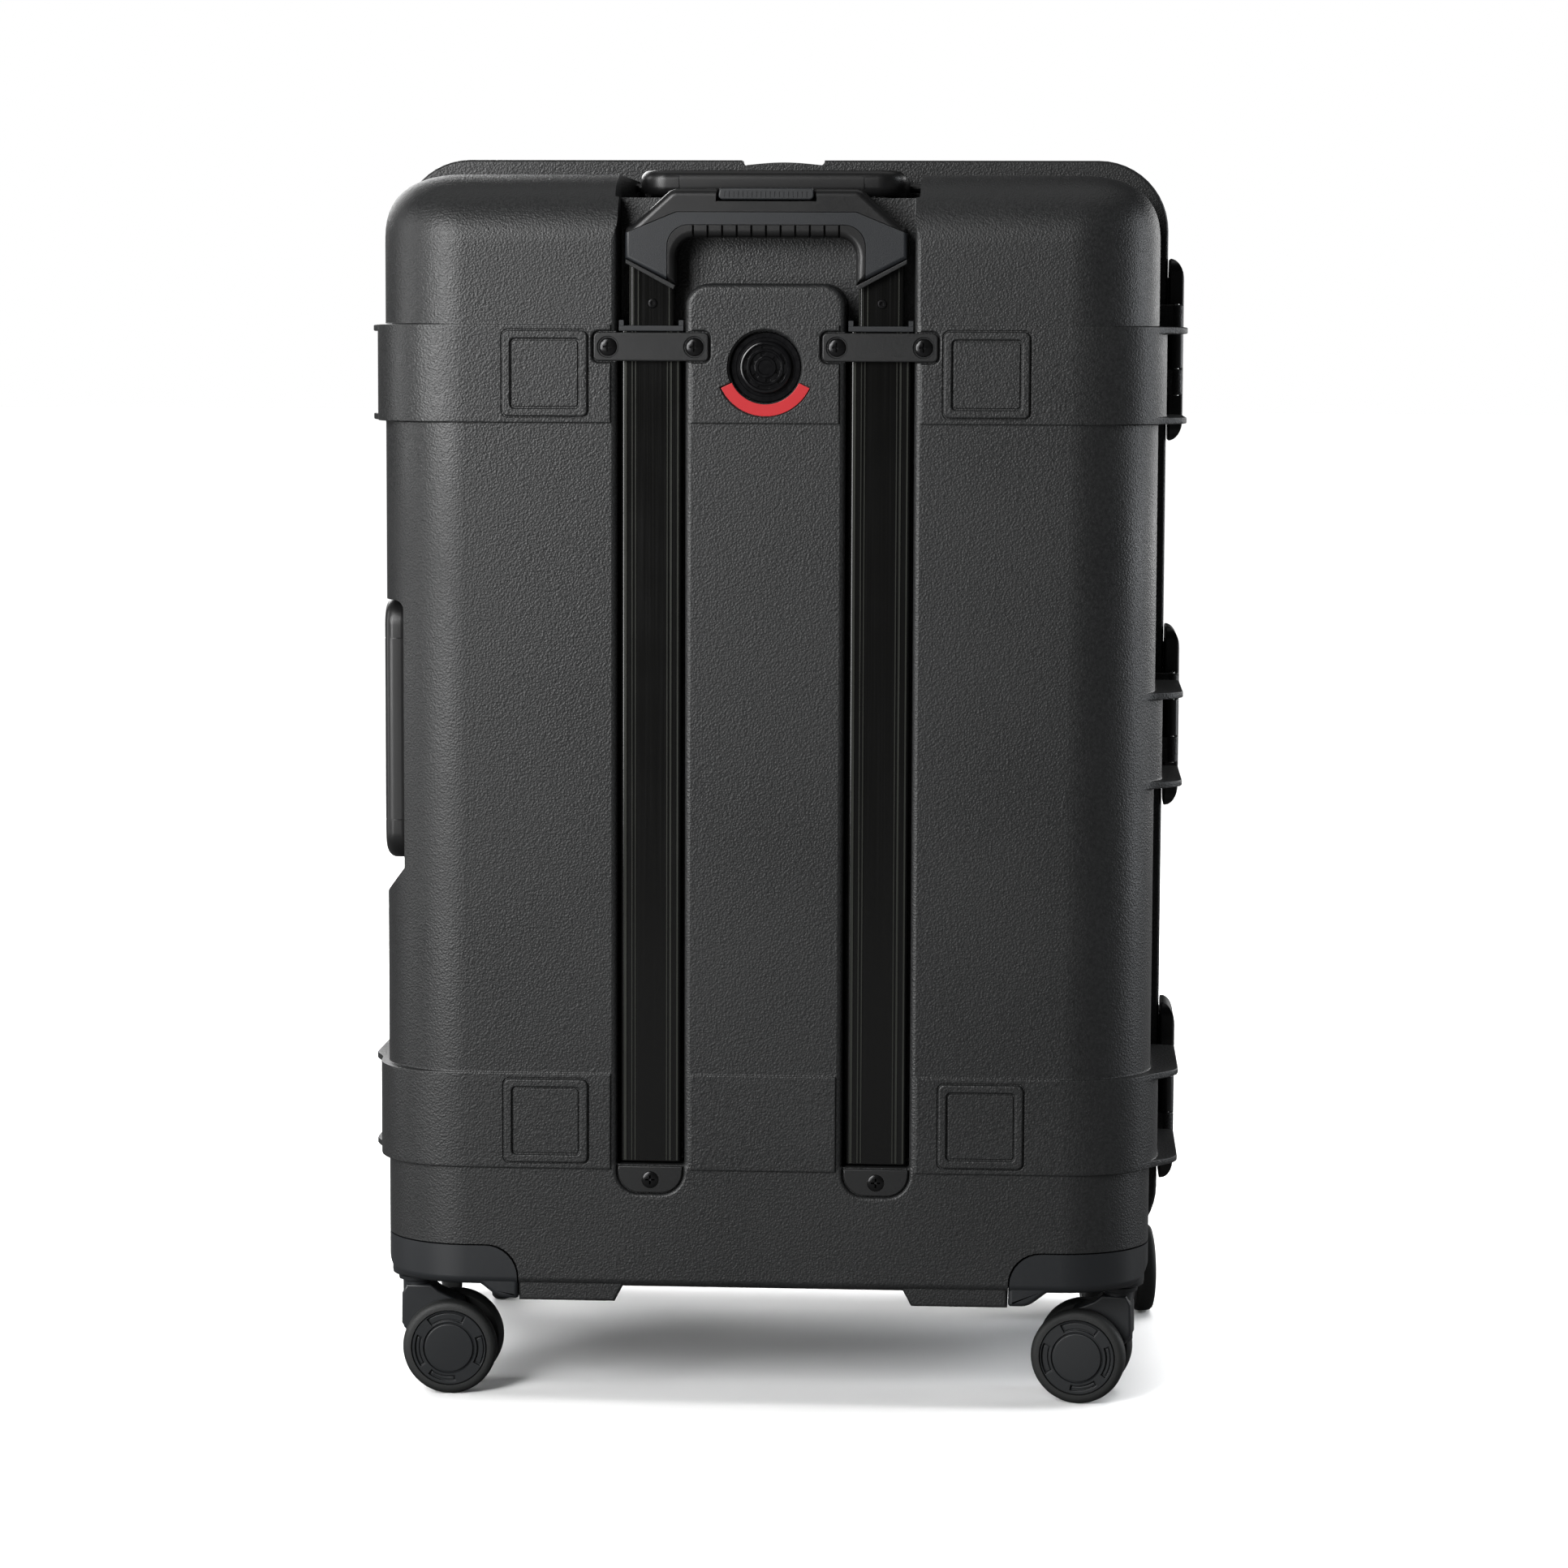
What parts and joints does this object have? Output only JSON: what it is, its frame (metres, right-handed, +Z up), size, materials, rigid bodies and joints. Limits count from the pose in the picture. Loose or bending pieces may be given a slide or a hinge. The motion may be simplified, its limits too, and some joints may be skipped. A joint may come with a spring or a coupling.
{
  "type": "wheeled hard equipment case",
  "caption": "Tall hinged hard case with latches, a telescoping trolley handle in its back, fold-down carry handles, a pressure valve and swivelling twin-wheel casters.",
  "frame": {"origin": "on the floor under the middle of the case's bounding box", "axes": "+Z up; +Y out of the lid's face, so the back with the trolley handle faces -Y; the hinges are on the -X side and the latches on the +X side"},
  "size_m": [0.5399, 0.3824, 0.813],
  "materials": {
    "shell_plastic": "fine pebble grain, semi-matte",
    "black_aluminium": "glossy black anodised",
    "trim_plastic": "smooth satin",
    "dark_steel": "black powder coat, satin",
    "gloss_plastic": "glossy",
    "red_label": "printed red, blank",
    "bright_steel": "bare",
    "seal_rubber": "matte",
    "soft_grip": "soft touch matte",
    "wheel_rubber": "matte tread"
  },
  "bodies": {
    "back_half": {"back_shell": "shell_plastic", "guide_tube_left": "black_aluminium", "guide_tube_right": "black_aluminium", "guide_bushing_left": "trim_plastic", "guide_bushing_right": "trim_plastic", "guide_strap_left": "dark_steel", "guide_strap_right": "dark_steel", "strap_screw_left_inner": "dark_steel", "strap_screw_left_outer": "dark_steel", "strap_screw_right_inner": "dark_steel", "strap_screw_right_outer": "dark_steel", "guide_foot_left": "trim_plastic", "guide_foot_right": "trim_plastic", "foot_screw_left": "dark_steel", "foot_screw_right": "dark_steel", "valve_body": "gloss_plastic", "valve_cap": "gloss_plastic", "valve_badge": "red_label", "caster_housing_back_left": "trim_plastic", "caster_housing_back_right": "trim_plastic", "top_handle_rod": "dark_steel", "side_handle_rod": "dark_steel", "hinge_leaf_back_upper": "dark_steel", "hinge_leaf_back_lower": "dark_steel", "hinge_pin_upper": "bright_steel", "hinge_pin_lower": "bright_steel", "latch_pin_upper": "bright_steel", "latch_pin_middle": "bright_steel", "latch_pin_lower": "bright_steel"},
    "lid": {"front_shell": "shell_plastic", "lid_seal": "seal_rubber", "caster_housing_front_left": "trim_plastic", "caster_housing_front_right": "trim_plastic", "hinge_leaf_lid_upper": "dark_steel", "hinge_leaf_lid_lower": "dark_steel"},
    "latch_upper": {"latch_upper": "trim_plastic"},
    "latch_middle": {"latch_middle": "trim_plastic"},
    "latch_lower": {"latch_lower": "trim_plastic"},
    "trolley": {"slider_tube_left": "black_aluminium", "slider_tube_right": "black_aluminium", "trolley_grip": "soft_grip"},
    "release_button": {"release_button": "trim_plastic"},
    "top_handle": {"top_handle": "trim_plastic"},
    "side_handle": {"side_handle": "trim_plastic"},
    "caster_back_left": {"caster_fork_back_left": "trim_plastic", "caster_axle_back_left": "bright_steel"},
    "wheel_back_left_outer": {"caster_wheel_back_left_outer": "wheel_rubber"},
    "wheel_back_left_inner": {"caster_wheel_back_left_inner": "wheel_rubber"},
    "caster_back_right": {"caster_fork_back_right": "trim_plastic", "caster_axle_back_right": "bright_steel"},
    "wheel_back_right_outer": {"caster_wheel_back_right_outer": "wheel_rubber"},
    "wheel_back_right_inner": {"caster_wheel_back_right_inner": "wheel_rubber"},
    "caster_front_left": {"caster_fork_front_left": "trim_plastic", "caster_axle_front_left": "bright_steel"},
    "wheel_front_left_outer": {"caster_wheel_front_left_outer": "wheel_rubber"},
    "wheel_front_left_inner": {"caster_wheel_front_left_inner": "wheel_rubber"},
    "caster_front_right": {"caster_fork_front_right": "trim_plastic", "caster_axle_front_right": "bright_steel"},
    "wheel_front_right_outer": {"caster_wheel_front_right_outer": "wheel_rubber"},
    "wheel_front_right_inner": {"caster_wheel_front_right_inner": "wheel_rubber"}
  },
  "joints": [
    {"name": "lid_hinge", "type": "hinge", "parent": "back_half", "child": "lid", "pos_m": [-0.2655, 0, 0.44], "axis": [0, 0, 1], "range_deg": [0, 105]},
    {"name": "latch_upper_hinge", "type": "hinge", "parent": "back_half", "child": "latch_upper", "pos_m": [0.2652, -0.024, 0.687], "axis": [0, 0, -1], "range_deg": [0, 95]},
    {"name": "latch_middle_hinge", "type": "hinge", "parent": "back_half", "child": "latch_middle", "pos_m": [0.2652, -0.024, 0.44], "axis": [0, 0, -1], "range_deg": [0, 95]},
    {"name": "latch_lower_hinge", "type": "hinge", "parent": "back_half", "child": "latch_lower", "pos_m": [0.2652, -0.024, 0.183], "axis": [0, 0, -1], "range_deg": [0, 95]},
    {"name": "trolley_slide", "type": "slide", "parent": "back_half", "child": "trolley", "axis": [0, 0, 1], "range_m": [0, 0.42]},
    {"name": "release_button_press", "type": "slide", "parent": "trolley", "child": "release_button", "axis": [0, 0, -1], "range_m": [0, 0.002], "stiffness_N_per_m": 600, "springref_m": -0.002},
    {"name": "top_handle_hinge", "type": "hinge", "parent": "back_half", "child": "top_handle", "pos_m": [0, -0.03, 0.7935], "axis": [-1, 0, 0], "range_deg": [0, 90]},
    {"name": "side_handle_hinge", "type": "hinge", "parent": "back_half", "child": "side_handle", "pos_m": [-0.246, -0.03, 0.4365], "axis": [0, 0, -1], "range_deg": [0, 90]},
    {"name": "caster_back_left_swivel", "type": "hinge", "parent": "back_half", "child": "caster_back_left", "pos_m": [-0.232, -0.143, 0.08], "axis": [0, 0, 1], "continuous": true},
    {"name": "wheel_back_left_outer_spin", "type": "hinge", "parent": "caster_back_left", "child": "wheel_back_left_outer", "pos_m": [-0.208, -0.143, 0.031], "axis": [0, 1, 0], "continuous": true},
    {"name": "wheel_back_left_inner_spin", "type": "hinge", "parent": "caster_back_left", "child": "wheel_back_left_inner", "pos_m": [-0.208, -0.143, 0.031], "axis": [0, 1, 0], "continuous": true},
    {"name": "caster_back_right_swivel", "type": "hinge", "parent": "back_half", "child": "caster_back_right", "pos_m": [0.232, -0.143, 0.08], "axis": [0, 0, 1], "continuous": true},
    {"name": "wheel_back_right_outer_spin", "type": "hinge", "parent": "caster_back_right", "child": "wheel_back_right_outer", "pos_m": [0.20823, -0.13966, 0.031], "axis": [-0.1392, -0.9903, 0], "continuous": true},
    {"name": "wheel_back_right_inner_spin", "type": "hinge", "parent": "caster_back_right", "child": "wheel_back_right_inner", "pos_m": [0.20823, -0.13966, 0.031], "axis": [-0.1392, -0.9903, 0], "continuous": true},
    {"name": "caster_front_left_swivel", "type": "hinge", "parent": "lid", "child": "caster_front_left", "pos_m": [-0.232, 0.1454, 0.08], "axis": [0, 0, 1], "continuous": true},
    {"name": "wheel_front_left_outer_spin", "type": "hinge", "parent": "caster_front_left", "child": "wheel_front_left_outer", "pos_m": [-0.22783, 0.12176, 0.031], "axis": [0.9848, 0.1736, 0], "continuous": true},
    {"name": "wheel_front_left_inner_spin", "type": "hinge", "parent": "caster_front_left", "child": "wheel_front_left_inner", "pos_m": [-0.22783, 0.12176, 0.031], "axis": [0.9848, 0.1736, 0], "continuous": true},
    {"name": "caster_front_right_swivel", "type": "hinge", "parent": "lid", "child": "caster_front_right", "pos_m": [0.232, 0.1454, 0.08], "axis": [0, 0, 1], "continuous": true},
    {"name": "wheel_front_right_outer_spin", "type": "hinge", "parent": "caster_front_right", "child": "wheel_front_right_outer", "pos_m": [0.23492, 0.12158, 0.031], "axis": [0.9925, 0.1219, 0], "continuous": true},
    {"name": "wheel_front_right_inner_spin", "type": "hinge", "parent": "caster_front_right", "child": "wheel_front_right_inner", "pos_m": [0.23492, 0.12158, 0.031], "axis": [0.9925, 0.1219, 0], "continuous": true}
  ]
}
